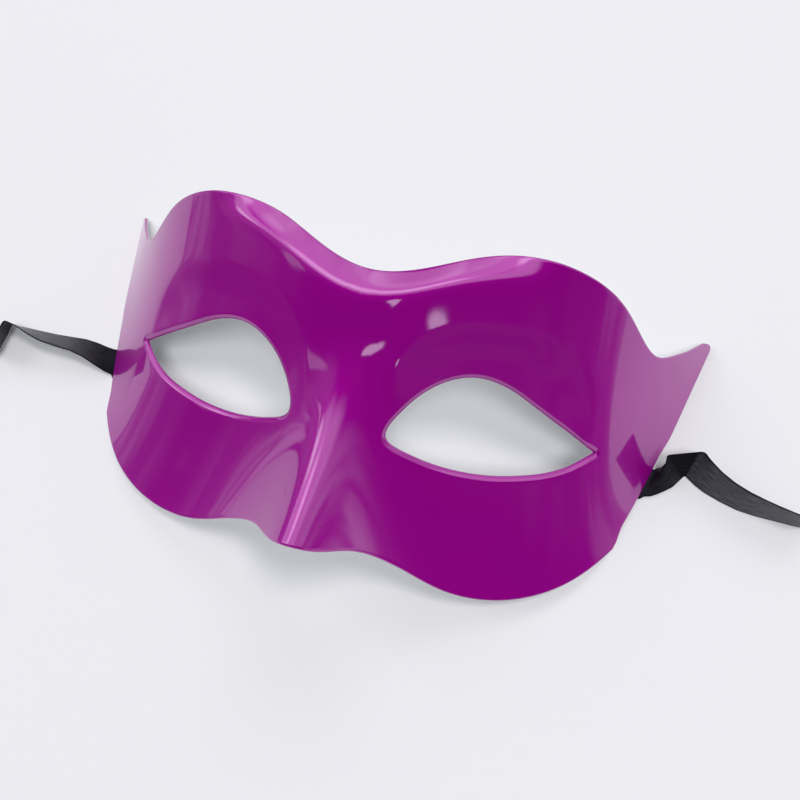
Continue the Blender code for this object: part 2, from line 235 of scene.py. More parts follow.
@dataclass(frozen=True)
class NodeBuilder:
    """Adds nodes to a tree, and gives each input a value or the output of another node.

    Attributes:
        tree: the tree.
    """

    tree: bpy.types.NodeTree

    def feed(self, node: bpy.types.Node, inputs: dict) -> None:
        """Set inputs of a node.

        Args:
            node: the node.
            inputs: a value or an output for each input, by name or place.
        """
        for name, source in inputs.items():
            if isinstance(source, Output):
                self.tree.links.new(source, node.inputs[name])
            else:
                node.inputs[name].default_value = source

    def add(self, kind: str, inputs: dict, output: int | str = 0, **settings: str) -> Output:
        """Add a node.

        Args:
            kind: its type.
            inputs: a value or an output for each input, by name or place.
            output: the output that is wanted, by name or place.
            settings: the node's own settings.

        Returns:
            The output.
        """
        node = self.tree.nodes.new(kind)
        for name, value in settings.items():
            setattr(node, name, value)
        self.feed(node, inputs)
        return node.outputs[output]

    def noise(self, noise: Noise, at: Output, output: str = "Fac") -> Output:
        """Read a noise at the given places."""
        inputs = {"Scale": noise.scale, "Detail": noise.detail, "Vector": at}
        return self.add("ShaderNodeTexNoise", inputs, output)

    def remap(self, value: Output, start: tuple, end: tuple, ramp: Ramp = Ramp.STRAIGHT) -> Output:
        """Turn one range of numbers into another.

        Args:
            value: output with the number.
            start: the two ends of its range.
            end: what they become.
            ramp: how it runs between them.

        Returns:
            Output with the new number.
        """
        names = ("Value", "From Min", "From Max", "To Min", "To Max")
        inputs = dict(zip(names, (value, *start, *end)))
        return self.add("ShaderNodeMapRange", inputs, "Result", interpolation_type=ramp.value)

    def blend(self, kind: Blend, share: Source, first: Source, second: Source) -> Output:
        """Blend two colours or numbers, by the share of the second one."""
        inputs = {"Factor": share, "A": first, "B": second}
        return self.add("ShaderNodeMix", inputs, "Result", data_type=kind.value)

    def bump(self, height: Output, depth: float, **under: Output) -> Output:
        """Raise the surface by depth times height, on top of the bumps given as Normal."""
        inputs = {"Strength": 1.0, "Distance": depth, "Height": height, **under}
        return self.add("ShaderNodeBump", inputs, "Normal")

    def work(self, operation: str, *values: Source) -> Output:
        """Work out one operation on values and outputs."""
        return self.add("ShaderNodeMath", dict(enumerate(values)), operation=operation)

    def move(self, operation: str, inputs: dict) -> Output:
        """Work out one operation on places, with a place as the result."""
        return self.add("ShaderNodeVectorMath", inputs, "Vector", operation=operation)


def new_material(name: str) -> tuple[bpy.types.Material, NodeBuilder]:
    """A new material with a Principled shader, and the builder of its nodes."""
    material = bpy.data.materials.new(name)
    material.use_nodes = True
    return material, NodeBuilder(material.node_tree)


@dataclass
class ShellForm:
    """The mask's form: where a point of its flat pattern lies in the frame.

    On the pattern u runs along the arch from the centre line and v up the face from the eye corners.

    Attributes:
        arch_half, brow_rise, lobe_drop: how far the pattern reaches out, up and down.
        lean: degrees that it leans back.
        crown, side_sweep, side_dish: height of the arch's middle, and how its sides fall and rise.
        horn_cut, temple_drop: how far under the horn's tip and under the eye corners the rim ends.
        nose_*, ridge_half: where the nose starts, its size, how it rises and widens, and its blunt ridge.
        roll_*: the band that falls back along the top edge, and where along the arch it fades.
        socket_*: the shallow socket round the eye, and where its side and its lower end fade.
        pass_*: how the rim is raised over the ribbon that passes under it.
        shift: how far the form is moved to lie over the origin.
        bend: the arch's slope in degrees at shares of arch_half.
        top_edge: shares of arch_half and of brow_rise.
        bottom_edge: shares of arch_half and of lobe_drop.
        arch_reach, rim_reach: how far the arch is worked out and where the rim lies, in shares of arch_half.
        arch_steps, rim_halvings, slope_step, edge_steps: how finely the shape is worked out.
    """

    arch_half: float = 0.1004
    brow_rise: float = 0.0443
    lobe_drop: float = 0.0387
    lean: float = 36.4
    crown: float = 0.0388
    side_sweep: float = 0.0196
    side_dish: float = 0.0069
    horn_cut: float = 0.0027
    temple_drop: float = 0.0244
    nose_top: float = 0.0200
    nose_length: float = 0.0550
    nose_height: float = 0.0533
    nose_rise_power: float = 1.45
    nose_half: float = 0.0054
    nose_spread: float = 0.90
    ridge_half: float = 0.0047
    roll_width: float = 0.0048
    roll_depth: float = 0.0060
    roll_softness: float = 0.16
    roll_flat: float = 0.0240
    roll_end: float = 0.0460
    socket_depth: float = 0.0011
    socket_centre: tuple = (0.0360, 0.0040)
    socket_half: tuple = (0.0250, 0.0220)
    socket_power: float = 2.4
    socket_side: tuple = (0.4, 1.25)
    socket_fade: tuple = (-0.0080, 0.0040)
    pass_height: float = 0.0008
    pass_middle: float = -0.01025
    pass_half: float = 0.0080
    pass_ramp: float = 0.0060
    shift: float = 0.0
    bend: tuple = ((0.0, 0.0), (0.20, 14.1), (0.40, 15.6), (0.55, 27.9), (0.70, 42.4), (0.85, 49.3),
                   (1.0, 52.5), (1.15, 52.5))
    top_edge: tuple = ((0.0, 0.775), (0.10, 0.818), (0.22, 0.926), (0.36, 1.0), (0.50, 0.963),
                       (0.62, 0.833), (0.72, 0.641), (0.79, 0.555), (0.86, 0.561), (0.93, 0.588),
                       (1.0, 0.630))
    bottom_edge: tuple = ((0.0, 0.625), (0.06, 0.674), (0.12, 0.711), (0.18, 0.775), (0.25, 0.868),
                          (0.34, 0.970), (0.45, 1.0), (0.57, 0.940), (0.68, 0.825), (0.77, 0.684))
    arch_reach: float = 1.3
    arch_steps: int = 400
    rim_reach: tuple = (0.6, 1.25)
    rim_halvings: int = 40
    slope_step: float = 0.0002
    edge_steps: int = 16

    def __post_init__(self) -> None:
        """Work out the arch: distance along it, x and fall."""
        self.along = np.linspace(0.0, self.arch_reach * self.arch_half, self.arch_steps)
        shares, degrees = zip(*self.bend)
        slope = np.radians(spline(np.array(shares) * self.arch_half, degrees, self.along)[:, 0])
        step = self.along[1]
        self.across, self.fall = (
            np.concatenate([[0.0], np.cumsum((rate[1:] + rate[:-1]) / 2 * step)])
            for rate in (np.cos(slope), np.sin(slope)))

    def top_points(self) -> np.ndarray:
        """Points of the right half of the top edge, from the centre line."""
        return np.array([(u * self.arch_half, v * self.brow_rise) for u, v in self.top_edge])

    @staticmethod
    def mirrored(points: np.ndarray) -> np.ndarray:
        """A half edge that starts on the centre line, with its mirror image before it."""
        points = np.asarray(points, float)
        return np.vstack([points[:0:-1] * (-1, 1), points])

    def half_line(self, points: np.ndarray, count: int) -> np.ndarray:
        """The right half of a smooth edge that is the same on both sides of the centre line."""
        fine = smooth_line(self.mirrored(points), self.edge_steps * count - 1)
        return resample(fine[len(fine) // 2:], count)

    def nose(self, u: np.ndarray, v: np.ndarray) -> np.ndarray:
        """How far the nose stands out of the arch."""
        down = np.maximum((self.nose_top - v) / self.nose_length, 0.0)
        half = self.nose_half * np.exp(self.nose_spread * down)
        return self.nose_height * down ** self.nose_rise_power * np.exp(-np.hypot(u, self.ridge_half) / half)

    def brow_roll(self, u: np.ndarray, v: np.ndarray) -> np.ndarray:
        """How far the band along the top edge falls back."""
        points = self.mirrored(self.top_points())
        top = spline(points[:, 0], points[:, 1], np.minimum(u, self.arch_half))[:, 0]
        share = 1.0 - (top - v) / self.roll_width
        fade = 1.0 - smooth_step(self.roll_flat, self.roll_end, u)
        return self.roll_depth * fade * self.roll_softness * np.logaddexp(0.0, share / self.roll_softness)

    def eye_socket(self, u: np.ndarray, v: np.ndarray) -> np.ndarray:
        """Depth of the shallow socket round the upper half of the eye."""
        reach = (np.abs(u - self.socket_centre[0]) / self.socket_half[0]) ** self.socket_power
        reach += (np.abs(v - self.socket_centre[1]) / self.socket_half[1]) ** self.socket_power
        inside = 1.0 - smooth_step(*self.socket_side, reach)
        return self.socket_depth * inside * smooth_step(*self.socket_fade, v)

    def points(self, u: np.ndarray, v: np.ndarray) -> np.ndarray:
        """Places on the outer face of the right half.

        Args:
            u: distances along the arch, none under 0.
            v: heights on the pattern.

        Returns:
            A row of x, y and z for each point.
        """
        out = (u / self.arch_half) ** 2
        up = v / self.brow_rise
        height = self.crown - np.interp(u, self.along, self.fall)
        height += out * (self.side_dish * up ** 2 - self.side_sweep * up)
        height += self.nose(u, v) - self.brow_roll(u, v) - self.eye_socket(u, v)
        lean = math.radians(self.lean)
        x = np.interp(u, self.along, self.across)
        y = v * math.cos(lean) - height * math.sin(lean) - self.shift
        z = height * math.cos(lean) + v * math.sin(lean)
        return np.stack([x, y, z], axis=1)

    def both_sides(self, u: np.ndarray, v: np.ndarray) -> np.ndarray:
        """Places on the outer face on either side: negative u lies on the left."""
        points = self.points(np.abs(u), v)
        points[:, 0] *= np.sign(u)
        return points

    def normals(self, u: np.ndarray, v: np.ndarray) -> np.ndarray:
        """Directions square to the outer face, pointing out of it."""
        step = self.slope_step
        along_u = self.both_sides(u + step, v) - self.both_sides(u - step, v)
        along_v = self.both_sides(u, v + step) - self.both_sides(u, v - step)
        normal = np.cross(along_u, along_v)
        return normal / np.linalg.norm(normal, axis=1)[:, None]

    def rim_height(self, v: np.ndarray) -> np.ndarray:
        """Height of the temple's rim over the surface: none, except where the ribbon passes."""
        away = np.abs(v - self.pass_middle)
        return self.pass_height * (1.0 - smooth_step(self.pass_half, self.pass_half + self.pass_ramp, away))

    def rim_line(self, v: np.ndarray) -> np.ndarray:
        """Distance along the arch at which the shell comes down to its rim."""
        low, high = (np.full(len(v), share * self.arch_half) for share in self.rim_reach)
        for _ in range(self.rim_halvings):
            middle = (low + high) / 2
            below = self.points(middle, v)[:, 2] < self.rim_height(v)
            high = np.where(below, middle, high)
            low = np.where(below, low, middle)
        return (low + high) / 2


@dataclass(frozen=True)
class PlasticFinish:
    """Hard glossy moulded plastic, with the faint mottling and waviness of a thin moulding.

    Attributes:
        colour, deep, mottling: the plastic's colour, the one where it looks deeper and the noise between.
        pearl: share of pearly flakes in the colour.
        index, coat_index: how strongly the plastic and the clear layer over it bend light.
        under_gloss, roughness: gloss and roughness of the coloured layer.
        smudge, smudges, smudged: how much rougher handled patches are, their noise and where it counts.
        lining, lining_roughness: colour and roughness of the unpainted inner face.
        wave, waves: depth and noise of the long waves in the surface.
        grain, grains: depth and noise of the fine grain.
    """

    colour: tuple = (0.450, 0.0003, 0.362)
    deep: tuple = (0.398, 0.0002, 0.324)
    mottling: Noise = Noise(35.0, 3.0)
    pearl: float = 0.4
    index: float = 1.5
    under_gloss: float = 0.1
    roughness: float = 0.46
    smudge: float = 0.08
    smudges: Noise = Noise(90.0, 5.0)
    smudged: tuple = (0.45, 0.75)
    coat_index: float = 1.85
    coat_roughness: float = 0.05
    lining: tuple = (0.56, 0.57, 0.58)
    lining_roughness: float = 0.45
    wave: float = 0.00003
    waves: Noise = Noise(55.0, 1.0)
    grain: float = 0.000002
    grains: Noise = Noise(2500.0, 2.0)

    def make(self) -> bpy.types.Material:
        """Build the material on Object coordinates and the number that marks the inner face."""
        material, build = new_material("purple_gloss_plastic")
        place = build.add("ShaderNodeTexCoord", {}, "Object")
        inside = build.add("ShaderNodeAttribute", {}, "Fac", attribute_name="inside")
        mottled = build.noise(self.mottling, place)
        colour = build.blend(Blend.COLOURS, mottled, (*self.deep, 1.0), (*self.colour, 1.0))
        rough = (self.roughness, self.roughness + self.smudge)
        handled = build.remap(build.noise(self.smudges, place), self.smudged, rough)
        low = build.bump(build.noise(self.waves, place), self.wave)
        build.feed(material.node_tree.nodes["Principled BSDF"], {
            "Base Color": build.blend(Blend.COLOURS, inside, colour, (*self.lining, 1.0)),
            "Metallic": self.pearl,
            "Roughness": build.blend(Blend.NUMBERS, inside, handled, self.lining_roughness),
            "IOR": self.index,
            "Specular IOR Level": self.under_gloss,
            "Coat Weight": build.remap(inside, WHOLE, WHOLE[::-1]),
            "Coat Roughness": self.coat_roughness,
            "Coat IOR": self.coat_index,
            "Normal": build.bump(build.noise(self.grains, place), self.grain, Normal=low),
        })
        return material


@dataclass(frozen=True)
class SatinFinish:
    """Black satin ribbon with fine ribs along it and a woven edge, with its sheen painted into its colour
    and gloss.

    Attributes:
        dark, light: the ribbon's own colour, and the colour of the sheen painted on its threads where the
            painted_sheen number is high.
        roughness, unevenness: roughness of the threads, and how much rougher it is between them.
        dull, gloss: strength of the mirrored light where the painted sheen is none and where it is full.
        sheen, sheen_roughness: strength and width of the soft light at a low angle.
        stretch: how far the threads draw the gloss out.
        rib_count, rib_depth: ribs across the ribbon and their depth.
        rib_scale, rib_wander, rib_detail: the wave that makes them, and how unevenly they run.
        streak_count, streak_rate: streaks for each rib, and along a metre.
        streaks, streak_range: noise of the streaks, and the part of it that counts.
        streak_share: share of the streaks in the weave, over the ribs.
    """

    dark: tuple = (0.003, 0.003, 0.006)
    light: tuple = (0.095, 0.092, 0.118)
    roughness: float = 0.36
    unevenness: float = 0.12
    dull: float = 0.04
    gloss: float = 0.34
    sheen: float = 0.02
    sheen_roughness: float = 0.40
    stretch: float = 0.6
    rib_count: float = 16.0
    rib_depth: float = 0.00005
    rib_scale: float = 0.314
    rib_wander: float = 0.6
    rib_detail: float = 2.0
    pick_length: float = 0.00035
    streak_count: float = 2.2
    streak_rate: float = 260.0
    streaks: Noise = Noise(1.0, 3.0)
    streak_range: tuple = (0.36, 0.66)
    streak_share: float = 0.72

    def make(self) -> bpy.types.Material:
        """Build the material on the ribbon's UV map and on the painted_sheen number, which paints sheen into
        its colour and gloss.
        """
        material, build = new_material("black_satin_ribbon")
        place = build.add("ShaderNodeUVMap", {}, "UV", uv_map="weave")
        painted_sheen = build.add("ShaderNodeAttribute", {}, "Fac", attribute_name="painted_sheen")
        picks = (self.rib_count, 1.0 / self.pick_length, 1.0)
        wave = {"Scale": self.rib_scale, "Distortion": self.rib_wander, "Detail": self.rib_detail,
                "Vector": build.add("ShaderNodeMapping", {"Scale": picks, "Vector": place})}
        ribs = build.add("ShaderNodeTexWave", wave, "Fac", wave_type="BANDS", bands_direction="X")
        drawn_out = (self.rib_count * self.streak_count, self.streak_rate, 1.0)
        far = build.add("ShaderNodeMapping", {"Scale": drawn_out, "Vector": place})
        crisp = build.remap(build.noise(self.streaks, far), self.streak_range, WHOLE)
        weave = build.blend(Blend.NUMBERS, self.streak_share, ribs, crisp)
        # Painted sheen: the threads turn from dark to light and grow glossier where the painted_sheen number
        # is high.
        lit = build.work("MULTIPLY", weave, painted_sheen)
        rough = (self.roughness + self.unevenness, self.roughness)
        build.feed(material.node_tree.nodes["Principled BSDF"], {
            "Base Color": build.blend(Blend.COLOURS, lit, (*self.dark, 1.0), (*self.light, 1.0)),
            "Roughness": build.remap(weave, WHOLE, rough),
            "Specular IOR Level": build.remap(painted_sheen, WHOLE, (self.dull, self.gloss)),
            "Anisotropic": self.stretch,
            "Sheen Weight": self.sheen,
            "Sheen Roughness": self.sheen_roughness,
            "Normal": build.bump(weave, self.rib_depth),
        })
        return material


@dataclass(frozen=True)
class PaperFinish:
    """The pale matt surface that the mask lies on."""

    colour: tuple = (0.87, 0.865, 0.89)
    roughness: float = 0.85
    gloss: float = 0.2

    def make(self) -> bpy.types.Material:
        """Build the material."""
        material, build = new_material("pale_surface")
        build.feed(material.node_tree.nodes["Principled BSDF"], {
            "Base Color": (*self.colour, 1.0),
            "Roughness": self.roughness,
            "Specular IOR Level": self.gloss,
        })
        return material


@dataclass
class MaskShell:
    """The moulded shell: outer face, inner face, rounded edges and the lips of the eye openings.

    Attributes:
        form: the shape of the outer face.
        wall, edge_curve: thickness, and radius of the rounded edges as a share of it.
        eye_inset, eye_length, eye_height: place and size of the eye opening on the pattern.
        eye_edge: the opening as shares of its length and height, from the outer corner over the top.
        lip_width, lip_depth, lip_power: size of the lip that turns in round it, and how late it turns in.
        stretches: stretches of the shell's edge, their faces and where each ends round the opening.
        outer_rings, inner_rings, lip_rings: rings of the outer face, of the inner face and of the lip.
        ring_crowding: how much closer the outer rings are at the lip and the edge.
        eye_steps, round_steps: how finely the opening and the rounded edges are worked out.
        inside_depth: shares of the wall between which the look becomes the inner face's.
    """

    form: ShellForm = field(default_factory=ShellForm)
    wall: float = 0.0010
    edge_curve: float = 0.45
    eye_inset: float = 0.0129
    eye_length: float = 0.0527
    eye_height: float = 0.0140
    eye_edge: tuple = ((1.0, 0.0), (0.821, 0.315), (0.644, 0.643), (0.487, 0.916), (0.318, 1.0),
                       (0.153, 0.720), (0.037, 0.213), (0.0, -0.189), (0.088, -0.408), (0.269, -0.598),
                       (0.464, -0.628), (0.655, -0.518), (0.833, -0.325), (1.0, 0.0))
    eye_steps: int = 2000
    lip_width: float = 0.0012
    lip_depth: float = 0.0007
    lip_power: float = 1.2
    stretches: tuple = (("temple_up", 32, 0.065), ("horn", 8, 0.080), ("top", 120, 0.43),
                        ("centre", 48, 0.58), ("bottom", 104, 0.94), ("temple_down", 24, 1.0))
    outer_rings: int = 46
    ring_crowding: float = 0.4
    inner_rings: int = 20
    lip_rings: int = 4
    round_steps: int = 5
    inside_depth: tuple = (0.5, 0.95)
    node: str = "mask_shell"

    def edge_lines(self) -> dict:
        """The shell's edge on the pattern, as the stretches of the grid."""
        form = self.form
        counts = {name: count + 1 for name, count, _ in self.stretches}
        top = form.top_points()
        horn = top[-1]
        corner_v = -form.temple_drop
        corner_u = form.rim_line(np.array([corner_v]))[0]
        bottom = [(u * form.arch_half, -v * form.lobe_drop) for u, v in form.bottom_edge]
        lines = {"top": form.half_line(top, counts["top"])[::-1],
                 "bottom": form.half_line([*bottom, (corner_u, corner_v)], counts["bottom"])}
        for name, start, end in (("temple_up", 0.0, horn[1] - form.horn_cut),
                                 ("temple_down", corner_v, 0.0)):
            v = np.linspace(start, end, counts[name])
            lines[name] = np.stack([form.rim_line(v), v], axis=1)
        tip = np.array([form.rim_line(np.array([horn[1]]))[0], horn[1]])
        share = np.linspace(0.0, 1.0, counts["horn"])[:, None]
        lines["horn"] = (lines["temple_up"][-1] * (1 - share) ** 2 + 2 * tip * share * (1 - share)
                         + horn * share ** 2)
        lines["centre"] = np.linspace(lines["top"][-1], lines["bottom"][0], counts["centre"])
        return lines

    def edges(self) -> tuple[np.ndarray, np.ndarray]:
        """Matching points of the eye opening and of the shell's edge, on the pattern."""
        lines = self.edge_lines()
        edge = np.vstack([lines[name][:-1] for name, _, _ in self.stretches])
        corners = [(self.eye_inset + u * self.eye_length, v * self.eye_height) for u, v in self.eye_edge]
        eye_line = smooth_line(corners, self.eye_steps)
        shares: list = []
        last = 0.0
        for _, count, end in self.stretches:
            shares.extend(np.linspace(last, end, count, endpoint=False))
            last = end
        steps = np.arange(self.eye_steps)
        return between(np.array(shares) * steps[-1], steps, eye_line), edge

    def section(self) -> np.ndarray:
        """The wall's section: out from the eye opening, round the edge and back along the inner face.

        Returns:
            Rows of (share of the way to the edge, inset at the eye opening, inset at the edge, depth).
        """
        turn = np.linspace(0.0, math.pi / 2, self.round_steps)
        curve = self.wall * self.edge_curve
        into = curve * (1 - np.sin(turn))
        under = curve * (1 - np.cos(turn))
        lip = np.linspace(curve, self.lip_width, self.lip_rings + 2)[1:-1]
        even = np.linspace(0.0, 1.0, self.outer_rings)
        shares = (1 - self.ring_crowding) * even + self.ring_crowding * smooth_step(0.0, 1.0, even)
        rows = [(0.0, inset, curve, depth) for inset, depth in zip(into[::-1], under[::-1])]
        rows += [(0.0, inset, curve, 0.0) for inset in lip]
        rows += [(share, self.lip_width, curve, 0.0) for share in shares]
        rows += [(1.0, curve, inset, depth) for inset, depth in zip(into[1:], under[1:])]
        rows += [(1.0, curve, inset, self.wall - depth) for inset, depth in zip(into[::-1], under[::-1])]
        rows += [(share, curve, curve, self.wall) for share in np.linspace(1.0, 0.0, self.inner_rings)[1:]]
        rows += [(0.0, inset, curve, self.wall - depth) for inset, depth in zip(into[1:], under[1:])]
        return np.array(rows)

    def wall_points(self) -> np.ndarray:
        """Every point of the right half's wall: places round the eye opening by rows of the section."""
        eye, edge = self.edges()
        along = np.roll(eye, -1, axis=0) - np.roll(eye, 1, axis=0)
        outwards = along[:, ::-1] * (1, -1) / np.linalg.norm(along, axis=1)[:, None]
        inwards = (eye - edge) / np.linalg.norm(eye - edge, axis=1)[:, None]
        rows = self.section()
        on_centre = edge[:, 0] < CENTRE_GAP
        corner = on_centre & (np.roll(~on_centre, 1) | np.roll(~on_centre, -1))
        ends = np.where((on_centre & ~corner)[:, None], 0.0, rows[None, :, 2])
        first = eye[:, None] + outwards[:, None] * rows[None, :, 1:2]
        last = edge[:, None] + inwards[:, None] * ends[..., None]
        spots = first + (last - first) * rows[None, :, :1]
        at_edge = rows[:, 0] > 1.0 - ROUNDING
        spots[..., 0] = np.where(on_centre[:, None] & at_edge[None, :], 0.0, spots[..., 0])
        u, v = spots[..., 0].ravel(), spots[..., 1].ravel()
        from_eye = rows[None, :, 1] + rows[None, :, 0] * np.linalg.norm(last - first, axis=2)
        lip = self.lip_depth * np.clip(1.0 - from_eye / self.lip_width, 0.0, 1.0) ** self.lip_power
        depth = (lip + rows[None, :, 3]).ravel()
        points = self.form.points(u, v) - self.form.normals(u, v) * depth[:, None]
        points[:, 2] = np.maximum(points[:, 2], self.form.rim_height(v))
        points[:, 0] = np.where(u < SAME_PLACE, 0.0, points[:, 0])
        return points.reshape(len(eye), len(rows), 3)

    def centre(self) -> None:
        """Move the form so that the shell's middle is over the origin."""
        points = self.wall_points()
        self.form.shift += (points[..., 1].min() + points[..., 1].max()) / 2

    def build(self) -> bpy.types.Object:
        """Shape a grid primitive into the wall, rolled up round one eye opening, and mirror it."""
        self.centre()
        points = self.wall_points()
        points = np.concatenate([points, points[:1]])
        points = np.concatenate([points, points[:, :1]], axis=1)
        item = add_grid("moulded_shell", points.transpose(1, 0, 2))
        depth = self.section()[:, 3]
        start, end = (self.wall * share for share in self.inside_depth)
        inside = smooth_step(start, end, np.append(depth, depth[0]))
        mark_points(item.data, "inside", np.repeat(inside, len(points)))
        self.open_centre(item)
        mirror = item.modifiers.new("left_half", "MIRROR")
        mirror.use_axis = (True, False, False)
        mirror.merge_threshold = CENTRE_GAP
        bpy.ops.object.modifier_apply(modifier=mirror.name)
        close_mesh(item)
        return item

    @staticmethod
    def open_centre(item: bpy.types.Object) -> None:
        """Join the grid's meeting edges and delete its faces on the centre plane."""
        bpy.ops.object.mode_set(mode="EDIT")
        bpy.ops.mesh.select_all(action="SELECT")
        bpy.ops.mesh.remove_doubles(threshold=SAME_PLACE)
        bpy.ops.mesh.select_mode(type="FACE")
        bpy.ops.mesh.select_all(action="DESELECT")
        bpy.ops.object.mode_set(mode="OBJECT")
        on_centre = np.abs(read_points(item.data)[:, 0]) < ROUNDING
        flat = [bool(on_centre[list(face.vertices)].all()) for face in item.data.polygons]
        item.data.polygons.foreach_set("select", flat)
        bpy.ops.object.mode_set(mode="EDIT")
        bpy.ops.mesh.delete(type="FACE")
        bpy.ops.mesh.select_all(action="SELECT")
        bpy.ops.mesh.delete_loose()
        bpy.ops.object.mode_set(mode="OBJECT")

    def dress(self, item: bpy.types.Object, finish: PlasticFinish) -> None:
        """Give the shell its finish and its place in the frame."""
        item.data.materials.clear()
        item.data.materials.append(finish.make())
        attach(item, BODY)
        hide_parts(self.node)


@dataclass
class Ribbon:
    """A flat ribbon that is held inside the temple, passes under its rim and lies on the surface.

    Attributes:
        route: rows of x, y and z in millimetres of the edge on the brow's side, then of the other edge.
        crossing: height on the pattern at which the ribbon crosses the rim.
        painted_sheen: rows of metres from its held end and the strength of the sheen painted there; low
            values paint shade where a stretch faces away from the light.
        form, wall: the shell that holds it, and its thickness.
        tail_bend: distance from the rim at which it bends down to pass under it.
        under_rim, under_inside, under_outside: height there, and how far inwards and outwards it is kept.
        crease_rounding: length over which each crease is rounded, on either side of it.
        selvedge: share of the painted sheen that is kept along both edges.
        path_step: rows of points from one point of the path along its middle to the next; the path is worked
            out and then not used.
    """

    side: Side
    route: tuple
    crossing: float
    painted_sheen: tuple
    form: ShellForm
    wall: float = 0.0010
    width: float = 0.0093
    thickness: float = 0.0003
    gap: float = 0.00036
    tail: float = 0.0140
    tail_sections: int = 6
    tail_bend: float = 0.0030
    under_rim: float = 0.0001
    under_inside: float = 0.0016
    under_outside: float = 0.0004
    crease_rounding: float = 0.0008
    fine_sections: int = 2000
    sections: int = 300
    across_steps: int = 14
    selvedge: float = 0.15
    lowest: float = 0.00005
    path_step: int = 3

    def held_end(self) -> np.ndarray:
        """Rows of both edges inside the temple and under its rim."""
        form, half = self.form, self.width / 2
        edge_v = self.crossing + np.array([-1, 0, 1]) * half
        edge_u = form.rim_line(edge_v)
        rim = np.array([edge_u[2] - edge_u[0], edge_v[2] - edge_v[0]])
        rim *= half / np.linalg.norm(rim)
        inset = self.wall + self.gap + self.thickness / 2
        inwards = np.linspace(self.tail, self.tail_bend, self.tail_sections) / half
        u = edge_u[1] - rim[1] * inwards
        v = self.crossing + rim[0] * inwards
        middle = form.points(u, v) - form.normals(u, v) * inset
        reach = form.points(u + rim[0], v + rim[1]) - form.points(u - rim[0], v - rim[1])
        reach *= half / np.linalg.norm(reach, axis=1)[:, None]
        under = np.repeat(form.points(edge_u[1:2], edge_v[1:2]), 2, axis=0)
        under[:, 0] += -self.under_inside, self.under_outside
        under[:, 2] = self.under_rim + self.thickness / 2
        middle = np.vstack([middle, under])
        reach = np.vstack([reach, reach[-1:] * (1, 1, 0), reach[-1:] * (1, 1, 0)])
        turn = (self.side.value, 1, 1)
        return np.hstack([(middle + reach) * turn, (middle - reach) * turn])

    def rim_point(self) -> np.ndarray:
        """Where the ribbon passes under the rim."""
        height = np.array([self.crossing])
        return self.form.points(self.form.rim_line(height), height)[0] * (self.side.value, 1, 0)

    def edges(self) -> tuple[np.ndarray, np.ndarray]:
        """Both edges of the whole ribbon, with their creases rounded, a row for each section."""
        corners = np.vstack([self.held_end(), np.array(self.route) / MILLIMETRES])
        rows = resample(corners, self.fine_sections)
        reach = int(self.crease_rounding / np.linalg.norm(rows[1] - rows[0]))
        padded = np.pad(rows, ((reach, reach), (0, 0)), mode="reflect", reflect_type="odd")
        window = np.ones(2 * reach + 1) / (2 * reach + 1)
        smooth = np.stack([np.convolve(column, window, mode="valid") for column in padded.T], axis=1)
        even = resample(smooth, self.sections)
        return even[:, :3], even[:, 3:]

    def build(self) -> bpy.types.Object:
        """Shape a grid primitive into the ribbon's face and give it a thickness."""
        brow_side, cheek_side = self.edges()
        spread = np.linspace(0.0, 1.0, self.across_steps + 1)[:, None, None]
        points = cheek_side[None] * (1.0 - spread) + brow_side[None] * spread
        item = add_grid(f"satin_ribbon_{self.side.name.lower()}", points)
        along = run_length((brow_side + cheek_side) / 2)
        self.lay_weave(item, along)
        across = np.ones(self.across_steps + 1)
        across[[0, -1]] = self.selvedge
        # Paint the sheen along the ribbon, weaker along both edges.
        mark_points(item.data, "painted_sheen", across[:, None] * np.interp(along, *zip(*self.painted_sheen))[None])
        wall = item.modifiers.new("thickness", "SOLIDIFY")
        wall.thickness = self.thickness
        wall.offset = 0.0
        bpy.ops.object.modifier_apply(modifier=wall.name)
        spots = read_points(item.data)
        spots[:, 2] = np.maximum(spots[:, 2], self.lowest)
        write_points(item.data, spots)
        close_mesh(item)
        return item

    def lay_weave(self, item: bpy.types.Object, along: np.ndarray) -> None:
        """Write the ribbon's UV map: u across it from 0 to 1, v along it in metres."""
        mesh = item.data
        while mesh.uv_layers:
            mesh.uv_layers.remove(mesh.uv_layers[0])
        layer = mesh.uv_layers.new(name="weave")
        corners = np.empty(len(mesh.loops), int)
        mesh.loops.foreach_get("vertex_index", corners)
        row, section = np.divmod(corners, self.sections)
        layer.data.foreach_set("uv", np.stack([row / self.across_steps, along[section]], axis=1).ravel())

    def dress(self, item: bpy.types.Object, material: bpy.types.Material) -> None:
        brow_side, cheek_side = self.edges()
        middle = (brow_side + cheek_side) / 2
        item.data.materials.clear()
        item.data.materials.append(material)
        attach(item, BODY)
        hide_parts(f"ribbon_{self.side.name.lower()}")
        length = float(run_length(middle)[-1])
        LOG.info("%s: %.1f mm long, %.1f mm wide", item.name, length * MILLIMETRES, self.width * MILLIMETRES)
        path = [tuple(point) for point in middle[::self.path_step]] + [tuple(middle[-1])]
        tuple(self.rim_point())


